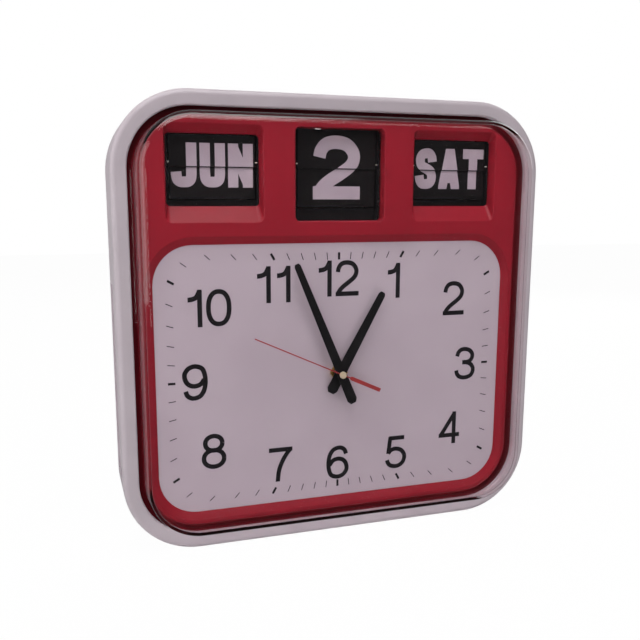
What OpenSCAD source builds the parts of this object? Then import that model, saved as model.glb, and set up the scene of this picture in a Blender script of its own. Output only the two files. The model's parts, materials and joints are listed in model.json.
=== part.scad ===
// Wall clock with a flip calendar: month, date and weekday in three windows over a square dial.
// The clock is modelled lying on its back (x right, y up the dial, z towards the reader), and
// upright() stands it against the wall: the wall face is the plane y = 0 and the dial faces -y.

/* [Case] */
// Width of the outer frame
case_w = 332; // [320:1:360]
// Height of the outer frame
case_h = 331; // [325:1:360]
// Radius of the frame's corners, seen from the front
corner_r = 55; // [52:1:64]
// Width of the frame's front face
rim_w = 11.2; // [9:0.2:13]
// Rounding of the frame's outer front edge, and the thickness of its front face
rim_round = 4; // [3:0.5:5]
// Rounding of the frame's inner front edge
lip_round = 1.2; // [0.5:0.1:1.2]
// Depth of the frame's side wall
frame_d = 46; // [44:1:60]
// Depth of the rear cover behind the frame
rear_d = 14; // [13:1:20]
// Wall thickness of the frame and of the rear cover
wall = 2.5; // [2:0.1:3]
// Depth of the long hollows in the frame's side walls
side_hollow_d = 1; // [0.5:0.1:1.2]
// Height of the long hollows in the frame's side walls
side_hollow_h = 141; // [100:1:180]

/* [Clear cover] */
// How far the clear cover stands in front of the frame
cover_proud = 20.4; // [18:0.2:30]
// Gap between the frame's opening and the clear cover
cover_gap = 2; // [1:0.1:3]
// Wall thickness of the clear cover
cover_wall = 2.4; // [1.6:0.1:3]
// Rounding of the clear cover's front edge
cover_round = 7; // [4:0.2:8]
// Taper of the clear cover's walls, foot to front
cover_taper = 3; // [1:0.1:4]

/* [Red panel] */
// Depth of the panel's face behind the frame's front
panel_recess = 3.9; // [3:0.1:4.4]
// Thickness of the panel's face
panel_t = 2.5; // [2:0.1:3]
// Gap between the clear cover and the panel's edge
panel_gap = 1.4; // [1.2:0.1:2.5]
// Width of the flat strip between the panel's edge and the dial's bevel
strip_w = 4.2; // [3:0.1:8]
// Width of the bevel round the dial
bevel_w = 5; // [3:0.5:7]
// Width of the strip between the outer windows and the panel's sides
window_side_gap = 20; // [18:0.5:24]
// Width of the strip between neighbouring windows
window_gap = 24; // [20:0.5:26]
// Height of each calendar window
window_h = 67; // [66:0.5:68]
// Height of the strip between the windows and the dial's bevel
middle_strip = 11; // [9:0.5:20]
// Strip between the windows and the panel's upper edge
window_top_gap = 5.8; // [5:0.1:6.2]
// Depth of the funnels behind the windows
funnel_d = 7.5; // [7:0.1:8]
// Height of the sloping sill below the month and the weekday
sill_h = 11; // [8:0.5:12]
// Height of the sloping brow above the month and the weekday
brow_h = 5.9; // [4:0.1:6]

/* [Dial and hands] */
// Thickness of the dial plate
dial_t = 1.2; // [1:0.1:2]
// Length of the hour hand from its axis
hour_len = 70.4; // [50:0.2:75]
// Length of the hour hand's tail
hour_tail = 16.7; // [10:0.1:25]
// Length of the minute hand from its axis
minute_len = 92; // [70:0.5:95]
// Length of the minute hand's tail
minute_tail = 25.3; // [15:0.1:30]
// Width of the hour hand at its tip
hour_tip_w = 5.6; // [3:0.1:7]
// Width of the hour hand at its tail
hour_tail_w = 8.8; // [7.6:0.1:10]
// Width of the minute hand at its tip
minute_tip_w = 4.9; // [3:0.1:6]
// Width of the minute hand at its tail
minute_tail_w = 8; // [7:0.1:10]
// Length of the second hand from its axis
second_len = 75.4; // [60:0.2:95]
// Length of the second hand's counterweight end
second_tail = 34.2; // [20:0.2:40]
// Hour hand's turn from twelve in the photographed pose, in degrees
hour_turn = 29.2; // [0:0.1:360]
// Minute hand's turn from twelve, in degrees
minute_turn = 337; // [0:0.1:360]
// Second hand's turn from twelve, in degrees
second_turn = 294.6; // [0:0.1:360]

/* [Movement] */
// Side of the square movement
movement_w = 56; // [54:0.5:60]
// Depth of the movement's case
movement_d = 17.4; // [17.4:0.1:18.4]
// Wall thickness of the movement's case
movement_wall = 1.2; // [1:0.1:1.8]
// Radius of the threaded bushing through the dial
bushing_r = 4; // [3.6:0.1:5]
// Outer radius of the hour tube
hour_tube_r = 2.5; // [2.3:0.05:2.8]
// Outer radius of the minute shaft
minute_shaft_r = 1.8; // [1.6:0.05:1.9]
// Radius of the seconds arbor
second_arbor_r = 0.55; // [0.45:0.05:0.7]
// Radius of the time-setting knob
knob_r = 9; // [7:0.5:11]
// Tooth size (module) of the motion work
motion_module = 0.6; // [0.55:0.01:0.62]

/* [Flip calendar] */
// Distance from the window's side to the leaf's edge
leaf_inset = 4.25; // [3.75:0.25:6]
// Thickness of a leaf
leaf_t = 0.5; // [0.4:0.05:0.6]
// Gap between neighbouring leaves
leaf_gap = 0.4; // [0.3:0.05:0.5]
// Length of the month's and the weekday's leaves, from the hinge
word_leaf = 22.2; // [18:0.1:22.4]
// Length of the date's leaves, from the hinge
date_leaf = 28.2; // [24:0.1:28.4]
// Height of the leaves' hinge line above the windows' centre
hinge_up = 4.9; // [3:0.1:5]
// Radius of the drum's end discs
drum_r = 10.2; // [8:0.1:10.2]
// Tooth size (module) of the calendar gears
calendar_module = 0.925; // [0.9:0.005:0.93]
// Radius of the setting wheels
wheel_r = 12; // [10:0.5:12.5]

/* [Batteries] */
// Diameter of a cell
cell_dia = 26.2; // [24:0.1:27]
// Length of a cell with its nub
cell_len = 50; // [46:0.5:52]

/* [Hidden] */
$fn = 96;

// Clearances shared by the whole clock
running = 0.05;
seat = 0.03;

// Room for a fingertip round a wheel or knob
finger_gap = 6;

// Case: depths are heights above the wall face
case_d = frame_d + rear_d;
run_x = case_w - 2 * corner_r;
run_y = case_h - 2 * corner_r;
rim_r = corner_r - rim_w;
lip_z = case_d - rim_round;
shell_r = corner_r - wall;
post_rise = 2;
tongue_gap = 0.4;
split_z = rear_d + post_rise;
tongue_z = split_z - tongue_gap;
cover_edge_r = shell_r - 1.5;

// Clear cover
cover_flange_t = 2;
cover_foot_z = lip_z - cover_flange_t;
cover_r = rim_r - cover_gap;
cover_front_z = case_d + cover_proud;
cover_top_r = cover_r - cover_taper;
cover_flat_r = cover_top_r - cover_round;
cover_bend_z = cover_front_z - cover_round;

// Red panel
panel_z = case_d - panel_recess;
panel_back_z = panel_z - panel_t;
panel_r = cover_r - cover_wall - panel_gap;
skirt_t = 2;
panel_flange_t = 2;
panel_foot_z = cover_foot_z - panel_flange_t;
panel_w = run_x + 2 * panel_r;
panel_h = run_y + 2 * panel_r;

// Dial
dial_w = panel_w - 2 * (strip_w + bevel_w);
dial_h = panel_h - window_top_gap - window_h - middle_strip - strip_w - 2 * bevel_w;
dial_r = panel_r - strip_w - bevel_w;
dial_y = strip_w + bevel_w + dial_h / 2 - panel_h / 2;
bevel_d = 3;
bevel_lip = 0.3;
dial_z = panel_z - bevel_d;
bevel_back_w = bevel_w + 2;
dial_margin = bevel_w + 0.5;
stake_r = 1.2;
stake_h = 2;

// Windows
window_w = (panel_w - 2 * window_side_gap - 2 * window_gap) / 3;
window_pitch = window_w + window_gap;
leaf_w = window_w - 2 * leaf_inset;
window_y = panel_h / 2 - window_top_gap - window_h / 2;
funnel_side = 1.5;
funnel_date = 0.4;
funnel_wall = 1.6;
funnel_z = panel_z - funnel_d;
month_x = -window_pitch;
date_x = 0;
weekday_x = window_pitch;
unit_places = [month_x, date_x, weekday_x];

// Flip units: the hinge line, then the drum behind it
hinge_y = window_y + hinge_up;
hinge_z = funnel_z - 1.3;
leaf_step = leaf_t + leaf_gap;
pack_count = 4;
pack_back_z = hinge_z - pack_count * leaf_step - leaf_t / 2;
drum_z = pack_back_z - 0.7 - drum_r;
leaf_pin_r = 0.4;
leaf_end_gap = 1.55;
plate_x = leaf_w / 2 + leaf_end_gap;
plate_t = 1.5;
plate_front_z = funnel_z - 0.4;
axle_r = 2;
drum_hub_r = 6;
disc_t = 1.2;
drum_teeth = 24;
wheel_teeth = 16;
pinion_teeth = 10;
gear_x = plate_x + plate_t + 0.5;
gear_t = 2;
wheel_z = drum_z - calendar_module * (drum_teeth + wheel_teeth) / 2;
wheel_x = gear_x + gear_t + 2.3;
wheel_t = 3.6;
wheel_axle_r = 1.5;
motor_r = 5;
motor_len = 20;
motor_shaft_r = 1;
motor_drop = calendar_module * (drum_teeth + pinion_teeth) / 2;
motor_y = hinge_y - motor_drop;
post_x = plate_x + plate_t + 5.7;
post_r = 3;
post_ys = [hinge_y - 24, hinge_y + 18];
ear_t = 1.6;
ear_z = plate_front_z - ear_t;
unit_screw_r = 1;
unit_head_r = 2;
unit_head_h = 1.4;
unit_grip = 1.4;

// Movement and motion work
movement_y = dial_y;
washer_t = 1;
movement_front_z = dial_z - dial_t - washer_t;
movement_back_z = movement_front_z - movement_d;
nut_t = 3;
nut_r = 6.9;
bushing_top_z = dial_z + 3.7;
hour_wheel_teeth = 32;
motion_teeth = 30;
motion_pinion_teeth = 8;
cannon_teeth = 10;
knob_teeth = 12;
motion_gap = motion_module * (cannon_teeth + motion_teeth) / 2;
knob_gap = motion_module * (motion_teeth + knob_teeth) / 2;
motion_at = [0, -motion_gap];
knob_dir = -50;
knob_at = motion_at + knob_gap * [cos(knob_dir), sin(knob_dir)];
wheel_level_t = 1.2;
hour_wheel_z = movement_front_z - 1.4 - 0.6 - wheel_level_t;
motion_level_z = hour_wheel_z - 0.9 - 1.5;
gear_plate_t = 1.5;
gear_plate_z = motion_level_z - 0.4 - gear_plate_t;
motion_stud_r = 1;
second_wheel_z = gear_plate_z - 2.2;
hour_hand_z = dial_z + 5;
minute_hand_z = hour_hand_z + 2.5;
second_hand_z = minute_hand_z + 2.1;
hand_t = 0.6;
cap_r = 2.6;
cap_h = 1.4;
cap_tube_r = 1.2;
cap_tube_h = 0.8;
knob_shaft_r = 2;
knob_z = 1;
knob_t = 6;
knob_well_d = 8;
knob_well_r = knob_r + finger_gap;

// Batteries and their box, between the movement and the case's lower edge
cell_gap = 2;
spring_room = 3;
box_low = 22;
box_wall = 1.6;
box_in_w = 2 * cell_len + cell_gap + 2 * spring_room;
box_in_h = cell_dia + 2;
box_y = box_low + wall + box_in_h / 2 - case_h / 2;
box_rim = 5;
box_top_z = wall + cell_dia + 3;
door_w = box_in_w + 8;
door_h = box_in_h + 8;
door_t = 1.5;
door_pin_r = 0.6;
door_gap = 0.4;
door_hinge_y = box_y - door_h / 2 + door_t / 2;
door_z = wall / 2;
board_side = 38;
board_up = 32.15;
board_x = door_w / 2 + board_side;
board_y = box_y + board_up;

// Fixings
case_post_r = 5;
case_post_in = 23.5;
case_post_x = case_w / 2 - case_post_in;
case_post_y = case_h / 2 - case_post_in;
case_post_reach = sqrt(2) * (corner_r - case_post_in);
case_screw_r = 1.5;
case_screw_head_r = 3.2;
boss_r = 3;
boss_out = shell_r - boss_r + 0.1;
boss_screw_r = 1.3;
boss_head_r = 2.6;
boss_head_h = 1.8;
boss_grip = 3.5;
case_head_h = 2.4;
case_screw_l = 22;
case_seat_d = 6;

// Hanger
hanger_y = case_h / 2 - 27;
hanger_t = 1.2;
hanger_w = 34;
hanger_h = 26;
keyhole_r = 5;
keyhole_slot_r = 2.4;
keyhole_run = 9;

module upright() {
    rotate([90, 0, 0]) children();
}

// Turns a drawing of (height, depth) so that it is extruded along the clock's width
module along_x() {
    rotate([90, 0, 90]) children();
}

module rounded_rect(w, h, r) {
    square([w, h - 2 * r], center = true);
    square([w - 2 * r, h], center = true);
    for (side_x = [-1, 1], side_y = [-1, 1])
        translate([side_x * (w / 2 - r), side_y * (h / 2 - r)]) circle(r);
}

// Carries a section of (radius, depth) round a rectangle with rounded corners
module round_the_clock(span_x, span_y) {
    for (turn = [0 : 3]) {
        out = turn % 2 == 0 ? span_x : span_y;
        along = turn % 2 == 0 ? span_y : span_x;
        rotate([0, 0, 90 * turn]) {
            translate([out / 2, along / 2, 0]) rotate_extrude(angle = 90) children();
            translate([out / 2, along / 2, 0]) rotate([90, 0, 0]) linear_extrude(along) children();
        }
    }
}

// One tooth: foot, pitch circle and tip on each side, as (share of the half tooth, radius)
function tooth(teeth, size) =
    let (pitch_r = size * teeth / 2, foot = teeth <= 12 ? 1 : 1.2, half = 90 / teeth * 0.86)
    [[-foot * half, pitch_r - 1.05 * size], [-half, pitch_r], [-0.4 * half, pitch_r + 0.75 * size],
     [0.4 * half, pitch_r + 0.75 * size], [half, pitch_r], [foot * half, pitch_r - 1.05 * size]];

module gear_2d(teeth, size) {
    polygon([for (count = [0 : teeth - 1], corner = tooth(teeth, size))
        let (turn = corner[0] + 360 * count / teeth) corner[1] * [cos(turn), sin(turn)]]);
}

// Turn of gear b that puts its gap on gear a's tooth, where b lies in direction dir from a
function mesh_turn(teeth_a, turn_a, teeth_b, dir) =
    dir + 180 - 360 / teeth_b * (0.5 - (dir - turn_a) * teeth_a / 360);

module screw(head_r, head_h, shank_r, shank_l) {
    difference() {
        translate([0, 0, -head_h]) cylinder(r = head_r, h = head_h);
        translate([0, 0, -head_h - 0.1]) linear_extrude(head_h / 2 + 0.1) {
            square([1.3 * head_r, 0.25 * head_r], center = true);
            square([0.25 * head_r, 1.3 * head_r], center = true);
        }
    }
    cylinder(r = shank_r, h = shank_l);
}

// ---- Case ----

module boss_places() {
    for (side = [-1, 1], share = [-1, 1]) {
        translate([side * (run_x / 2 + boss_out), share * run_y / 3]) children();
        translate([share * run_x / 3, side * (run_y / 2 + boss_out)]) children();
    }
}

module post_places() {
    for (side_x = [-1, 1], side_y = [-1, 1])
        translate([side_x * case_post_x, side_y * case_post_y])
            rotate([0, 0, atan2(side_y, side_x)]) children();
}

module frame_section() {
    translate([shell_r, rear_d]) square([wall, frame_d - rim_round]);
    translate([corner_r - rim_round, lip_z]) intersection() {
        circle(rim_round);
        square(rim_round);
    }
    translate([rim_r + lip_round, lip_z]) square([rim_w - lip_round - rim_round, rim_round]);
    translate([rim_r, lip_z]) square([wall, rim_round - lip_round]);
    translate([rim_r + lip_round, case_d - lip_round]) circle(lip_round);
}

module front_frame() {
    web_l = shell_r - case_post_reach + 0.6;
    color("#cfc8d0") upright() difference() {
        union() {
            round_the_clock(run_x, run_y) frame_section();
            boss_places() translate([0, 0, cover_foot_z])
                cylinder(r = boss_r, h = case_d - rim_round / 2 - cover_foot_z);
            post_places() translate([0, 0, split_z]) {
                cylinder(r = case_post_r, h = panel_foot_z - 0.4 - split_z);
                translate([0, -1.5, 0]) cube([web_l, 3, panel_foot_z - 0.4 - split_z]);
            }
        }
        boss_places() translate([0, 0, cover_foot_z - 1])
            cylinder(r = boss_screw_r + seat, h = boss_grip + 1.5);
        post_places() translate([0, 0, split_z - 1]) cylinder(r = case_screw_r + seat, h = 19);
        for (side = [-1, 1])
            translate([side * case_w / 2, dial_y + 1, rear_d + frame_d / 2 - 2])
                cube([2 * side_hollow_d, side_hollow_h, frame_d - 16], center = true);
    }
}

module cover_section() {
    translate([cover_r - cover_wall, cover_foot_z])
        square([rim_r + wall - 0.3 - cover_r + cover_wall, cover_flange_t]);
    polygon([[cover_r, cover_foot_z], [cover_top_r, cover_bend_z],
             [cover_top_r - cover_wall, cover_bend_z], [cover_r - cover_wall, cover_foot_z]]);
    translate([cover_flat_r, cover_bend_z]) intersection() {
        difference() {
            circle(cover_round);
            circle(cover_round - cover_wall);
        }
        square(cover_round);
    }
}

module clear_cover() {
    color([0.85, 0.88, 0.92, 0.35]) upright() {
        round_the_clock(run_x, run_y) cover_section();
        translate([0, 0, cover_front_z - cover_wall]) linear_extrude(cover_wall)
            rounded_rect(run_x + 2 * cover_flat_r, run_y + 2 * cover_flat_r, cover_flat_r);
    }
}

// The four-sided funnel behind a window: as wide as the window in front, narrower at the rear
module funnel(grow, low, high, side) {
    half_w = window_w / 2 + grow;
    half_h = window_h / 2 + grow;
    translate([0, window_y, 0]) intersection() {
        translate([-half_w, 0, 0]) along_x() linear_extrude(2 * half_w)
            polygon([[low - half_h, funnel_z], [half_h - high, funnel_z], [half_h, panel_z],
                [-half_h, panel_z]]);
        translate([0, half_h, 0]) rotate([90, 0, 0]) linear_extrude(2 * half_h)
            polygon([[side - half_w, funnel_z], [half_w - side, funnel_z], [half_w, panel_z],
                [-half_w, panel_z]]);
    }
}

module funnels(grow) {
    for (place = [month_x, weekday_x]) translate([place, 0, 0]) funnel(grow, sill_h, brow_h, funnel_side);
    translate([date_x, 0, 0]) funnel(grow, funnel_date, funnel_date, funnel_side);
}

module bevel_section() {
    polygon([[dial_r, dial_z], [dial_r, dial_z + bevel_lip], [dial_r + bevel_w, panel_z],
             [dial_r + bevel_back_w, panel_z], [dial_r + bevel_back_w, dial_z]]);
}

module dial_stakes(r, h) {
    for (side_x = [-1, 1], share = [-0.35, 0.35])
        translate([side_x * (dial_w / 2 + 3), dial_y + share * dial_h, dial_z - h]) cylinder(r = r, h = h);
    for (side_x = [-1, 1])
        translate([side_x * dial_w / 4, dial_y + dial_h / 2 + 3, dial_z - h]) cylinder(r = r, h = h);
}

// The panel's edge: a skirt down to its foot, then a flange outwards under the cover's foot
module panel_edge_section() {
    edge_r = panel_r - skirt_t;
    translate([edge_r, panel_foot_z]) square([skirt_t, panel_z - panel_foot_z]);
    translate([edge_r, panel_foot_z]) square([shell_r - 0.5 - edge_r, panel_flange_t]);
}

module unit_post_places() {
    for (place = unit_places, side = [-1, 1], height = post_ys)
        translate([place + side * post_x, height]) children();
}

module window_panel() {
    color("#9b1c2c") upright() difference() {
        union() {
            difference() {
                translate([0, 0, panel_back_z]) linear_extrude(panel_t)
                    rounded_rect(panel_w - skirt_t, panel_h - skirt_t, panel_r - skirt_t / 2);
                translate([0, dial_y, panel_back_z - 1]) linear_extrude(panel_t + 2)
                    rounded_rect(dial_w + 2 * bevel_w, dial_h + 2 * bevel_w, dial_r + bevel_w);
            }
            translate([0, dial_y, 0]) round_the_clock(dial_w - 2 * dial_r, dial_h - 2 * dial_r)
                bevel_section();
            round_the_clock(run_x, run_y) panel_edge_section();
            funnels(funnel_wall);
            dial_stakes(stake_r, stake_h);
        }
        funnels(0);
        boss_places() translate([0, 0, panel_foot_z - 1])
            cylinder(r = boss_screw_r + 0.4, h = panel_flange_t + 2);
        unit_post_places() translate([0, 0, panel_back_z - 1]) cylinder(r = unit_screw_r + seat, h = 2.6);
    }
}

module dial_plate() {
    color("#d8d2da") upright() difference() {
        translate([0, dial_y, dial_z - dial_t]) linear_extrude(dial_t)
            rounded_rect(dial_w + 2 * dial_margin, dial_h + 2 * dial_margin, dial_r + dial_margin);
        translate([0, dial_y, dial_z - dial_t - 1]) cylinder(r = bushing_r + 0.1, h = dial_t + 2);
        translate([0, 0, 1]) dial_stakes(stake_r + 0.1, stake_h + 2);
    }
}

module rear_cover_section() {
    translate([cover_edge_r - wall, 0]) square([wall, tongue_z]);
    translate([cover_edge_r, rear_d - wall]) square([corner_r - 0.5 - cover_edge_r, wall]);
}

// Pocket in the rear cover that leaves room for a thumb on a setting wheel
module wheel_pocket(place, grow, depth) {
    pocket_w = 15;
    pocket_h = 2 * (wheel_r + finger_gap);
    translate([place + wheel_x - 0.6 - grow, hinge_y - pocket_h / 2 - grow, -1 + grow])
        cube([pocket_w + 2 * grow, pocket_h + 2 * grow, depth + 1 - grow]);
}

module knob_place() {
    translate([knob_at[0], movement_y + knob_at[1], 0]) children();
}

module rear_cover() {
    floor_r = cover_edge_r - wall / 2;
    pocket_d = 8;
    pocket_wall = 1.2;
    floor_t = 1.6;
    color("#c4bdc6") upright() difference() {
        union() {
            linear_extrude(wall) rounded_rect(run_x + 2 * floor_r, run_y + 2 * floor_r, floor_r);
            round_the_clock(run_x, run_y) rear_cover_section();
            post_places() cylinder(r = case_post_r, h = split_z);
            for (place = unit_places) wheel_pocket(place, pocket_wall, pocket_d + floor_t);
            knob_place() cylinder(r = knob_well_r + pocket_wall, h = knob_well_d + floor_t);
        }
        for (place = unit_places) {
            wheel_pocket(place, 0, pocket_d);
            translate([place + wheel_x - 0.5, hinge_y - wheel_r - 0.5, -1])
                cube([wheel_t + 1, 2 * wheel_r + 1, split_z]);
        }
        post_places() {
            translate([0, 0, -1]) cylinder(r = case_screw_r + 0.5, h = split_z + 2);
            translate([0, 0, -1]) cylinder(r = case_screw_head_r + 0.4, h = split_z - case_seat_d + 1);
        }
        knob_place() {
            translate([0, 0, -1]) cylinder(r = knob_well_r, h = knob_well_d + 1);
            cylinder(r = knob_shaft_r + running, h = split_z);
        }
        translate([0, box_y, wall / 2])
            cube([door_w + 2 * door_gap, door_h + 2 * door_gap, wall + 2], center = true);
        translate([-door_w / 2 - 3.05, door_hinge_y, door_z]) along_x()
            cylinder(r = door_pin_r + running, h = door_w + 6.1);
        translate([0, hanger_y, -1]) keyhole(keyhole_r + 2, keyhole_slot_r + 3, wall + 2);
    }
}

module keyhole(entry_r, slot_r, depth) {
    cylinder(r = entry_r, h = depth);
    translate([0, keyhole_run, 0]) cylinder(r = slot_r, h = depth);
    translate([-slot_r, 0, 0]) cube([2 * slot_r, keyhole_run, depth]);
}

module hanger_plate() {
    color("#b9bcc0") upright() translate([0, hanger_y, wall]) difference() {
        translate([-hanger_w / 2, -hanger_h / 2 + 3, 0]) cube([hanger_w, hanger_h, hanger_t]);
        translate([0, 0, -1]) keyhole(keyhole_r, keyhole_slot_r, hanger_t + 2);
    }
}

module panel_screws() {
    color("#9a9da2") upright() boss_places()
        translate([0, 0, panel_foot_z])
            screw(boss_head_r, boss_head_h, boss_screw_r, panel_flange_t + boss_grip);
}

module case_screws() {
    color("#9a9da2") upright() post_places()
        translate([0, 0, split_z - case_seat_d])
            screw(case_screw_head_r, case_head_h, case_screw_r, case_screw_l);
}

module calendar_screws() {
    color("#9a9da2") upright() unit_post_places()
        translate([0, 0, ear_z])
            screw(unit_head_r, unit_head_h, unit_screw_r, panel_back_z + unit_grip - ear_z);
}

// ---- Batteries ----

module battery_box() {
    outer_w = box_in_w + 2 * box_rim + 4;
    outer_h = box_in_h + 2 * box_rim + 4;
    color("#2b2b2e") upright() translate([0, box_y, wall]) difference() {
        union() {
            translate([-outer_w / 2, -outer_h / 2, 0]) cube([outer_w, outer_h, box_wall]);
            translate([-box_in_w / 2 - box_wall, -box_in_h / 2 - box_wall, 0])
                cube([box_in_w + 2 * box_wall, box_in_h + 2 * box_wall, box_top_z - wall]);
        }
        translate([-box_in_w / 2, -box_in_h / 2, -1])
            cube([box_in_w, box_in_h, box_top_z - wall - box_wall + 1]);
    }
}

module battery_cells() {
    color("#b07a2a") upright() for (side = [0, 1])
        translate([(side - 0.5) * (cell_len + cell_gap) - cell_len / 2, box_y,
            box_top_z - box_wall - cell_dia / 2])
            along_x() {
                cylinder(r = cell_dia / 2, h = cell_len - 2);
                cylinder(r = 3, h = cell_len);
            }
}

module battery_contacts() {
    plate_h = 16;
    spring_l = spring_room - 0.5;
    color("#c8cbd0") upright() for (side = [-1, 1])
        translate([side * (box_in_w / 2 - 0.25), box_y, box_top_z - box_wall - cell_dia / 2]) {
            cube([0.5, plate_h, plate_h], center = true);
            translate([side > 0 ? -spring_l - 0.25 : 0.25, 0, 0]) along_x() cylinder(r = 2.5, h = spring_l);
        }
}

module battery_door() {
    color("#c4bdc6") upright() {
        translate([-door_w / 2, door_hinge_y, door_z - door_t / 2])
            cube([door_w, door_h - door_t / 2, door_t]);
        translate([-door_w / 2, door_hinge_y, door_z]) along_x() cylinder(r = door_t / 2, h = door_w);
        translate([-door_w / 2 - 2.5, door_hinge_y, door_z]) along_x()
            cylinder(r = door_pin_r, h = door_w + 5);
    }
}

module control_board() {
    board_w = 44;
    board_h = 56;
    board_t = 1.6;
    board_z = 22;
    board_in = 4;
    chip_w = 12;
    chip_h = 16;
    chip_t = 3;
    capacitor_r = 4;
    capacitor_h = 6;
    color("#1f6b45") upright() translate([board_x, board_y, board_z]) {
        translate([-board_w / 2, -board_h / 2, 0]) cube([board_w, board_h, board_t]);
        translate([-chip_w / 2, -chip_h / 2, -chip_t]) cube([chip_w, chip_h, chip_t]);
        translate([chip_w, chip_h, -capacitor_h]) cylinder(r = capacitor_r, h = capacitor_h);
        for (side_x = [-1, 1], side_y = [-1, 1])
            translate([side_x * (board_w / 2 - board_in), side_y * (board_h / 2 - board_in), wall - board_z])
                cylinder(r = 2.5, h = board_z - wall);
    }
}

// ---- Movement and hands ----

module at_dial() {
    translate([0, movement_y, 0]) children();
}

module movement_case() {
    inner_w = movement_w - 2 * movement_wall;
    color("#26262a") upright() at_dial() difference() {
        union() {
            translate([-movement_w / 2, -movement_w / 2, movement_back_z])
                cube([movement_w, movement_w, movement_d]);
            translate([0, 0, movement_back_z]) cylinder(r = bushing_r, h = bushing_top_z - movement_back_z);
        }
        translate([-inner_w / 2, -inner_w / 2, movement_back_z - 1])
            cube([inner_w, inner_w, movement_d - 1.4 + 1]);
        translate([0, 0, movement_back_z - 1])
            cylinder(r = hour_tube_r + running, h = bushing_top_z - movement_back_z + 2);
    }
}

module movement_back() {
    color("#303036") upright() at_dial() difference() {
        union() {
            translate([-movement_w / 2, -movement_w / 2, movement_back_z - movement_wall])
                cube([movement_w, movement_w, movement_wall]);
            translate([0, 0, movement_back_z]) cylinder(r = 2.5, h = 1.8);
        }
        translate([0, 0, movement_back_z - 0.2]) cylinder(r = second_arbor_r + running, h = 4);
        translate([knob_at[0], knob_at[1], movement_back_z - 3])
            cylinder(r = knob_shaft_r + running, h = 6);
    }
}

module gear_plate() {
    plate_w = movement_w - 2 * movement_wall - 0.2;
    color("#d9d4c4") upright() at_dial() difference() {
        union() {
            translate([-plate_w / 2, -plate_w / 2, gear_plate_z]) cube([plate_w, plate_w, gear_plate_t]);
            translate([motion_at[0], motion_at[1], gear_plate_z])
                cylinder(r = motion_stud_r, h = movement_front_z - 1.5 - gear_plate_z);
            for (side_x = [-1, 1], side_y = [-1, 1])
                translate([side_x * (plate_w / 2 - 3), side_y * (plate_w / 2 - 3), movement_back_z])
                    cylinder(r = 2.4, h = movement_front_z - 1.4 - movement_back_z);
        }
        translate([0, 0, gear_plate_z - 1]) cylinder(r = second_arbor_r + running, h = gear_plate_t + 2);
        translate([knob_at[0], knob_at[1], gear_plate_z - 1])
            cylinder(r = knob_shaft_r + running, h = gear_plate_t + 2);
    }
}

module movement_coil() {
    coil_r = 2.6;
    color("#b5651d") upright() at_dial() translate([0, 17, movement_back_z + coil_r + 0.3]) {
        translate([-10, 0, 0]) along_x() cylinder(r = coil_r, h = 20);
        for (side = [-1, 1]) translate([side * 11 - 1, -3, -coil_r - 0.3]) cube([2, 6, 2 * coil_r]);
    }
}

module rubber_washer() {
    color("#1c1c1e") upright() at_dial() difference() {
        translate([0, 0, movement_front_z]) cylinder(r = 9, h = washer_t);
        translate([0, 0, movement_front_z - 1]) cylinder(r = bushing_r + 0.1, h = washer_t + 2);
    }
}

module fixing_nut() {
    color("#c9a552") upright() at_dial() difference() {
        translate([0, 0, dial_z]) cylinder(r = nut_r, h = nut_t, $fn = 6);
        translate([0, 0, dial_z - 1]) cylinder(r = bushing_r + seat, h = nut_t + 2);
    }
}

module hour_wheel() {
    color("#e6e2d6") upright() at_dial() difference() {
        union() {
            translate([0, 0, hour_wheel_z]) linear_extrude(wheel_level_t)
                rotate([0, 0, mesh_turn(motion_pinion_teeth, 0, hour_wheel_teeth, 90)])
                    gear_2d(hour_wheel_teeth, motion_module);
            translate([0, 0, hour_wheel_z])
                cylinder(r = hour_tube_r, h = hour_hand_z + hand_t - hour_wheel_z);
        }
        translate([0, 0, hour_wheel_z - 1])
            cylinder(r = minute_shaft_r + running, h = hour_hand_z + hand_t - hour_wheel_z + 2);
    }
}

module minute_shaft() {
    shaft_z = gear_plate_z + gear_plate_t + 0.1;
    color("#e6e2d6") upright() at_dial() difference() {
        union() {
            translate([0, 0, motion_level_z]) linear_extrude(wheel_level_t)
                rotate([0, 0, mesh_turn(motion_teeth, 0, cannon_teeth, 90)])
                    gear_2d(cannon_teeth, motion_module);
            translate([0, 0, shaft_z]) cylinder(r = minute_shaft_r, h = minute_hand_z + hand_t - shaft_z);
        }
        translate([0, 0, shaft_z - 1])
            cylinder(r = second_arbor_r + running, h = minute_hand_z + hand_t - shaft_z + 2);
    }
}

module seconds_arbor() {
    arbor_z = movement_back_z + 0.1;
    color("#8f9296") upright() at_dial() {
        translate([0, 0, arbor_z]) cylinder(r = second_arbor_r, h = second_hand_z + hand_t - arbor_z);
        translate([0, 0, second_wheel_z]) linear_extrude(1) gear_2d(40, 0.4);
    }
}

module motion_wheel() {
    color("#e6e2d6") upright() at_dial() translate([motion_at[0], motion_at[1], 0]) difference() {
        union() {
            translate([0, 0, motion_level_z]) linear_extrude(wheel_level_t)
                gear_2d(motion_teeth, motion_module);
            translate([0, 0, motion_level_z + wheel_level_t])
                linear_extrude(hour_wheel_z - motion_level_z)
                    gear_2d(motion_pinion_teeth, motion_module);
        }
        translate([0, 0, motion_level_z - 1]) cylinder(r = motion_stud_r + running, h = 6);
    }
}

module setting_knob() {
    color("#26262a") upright() knob_place() {
        translate([0, 0, knob_z]) linear_extrude(knob_t) difference() {
            circle(knob_r);
            for (count = [0 : 17]) rotate([0, 0, 20 * count]) translate([knob_r, 0]) circle(0.7, $fn = 24);
        }
        translate([0, 0, knob_z]) cylinder(r = knob_shaft_r, h = motion_level_z + wheel_level_t - knob_z);
        translate([0, 0, motion_level_z]) linear_extrude(wheel_level_t)
            rotate([0, 0, mesh_turn(motion_teeth, 0, knob_teeth, knob_dir)])
                gear_2d(knob_teeth, motion_module);
    }
}

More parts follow.
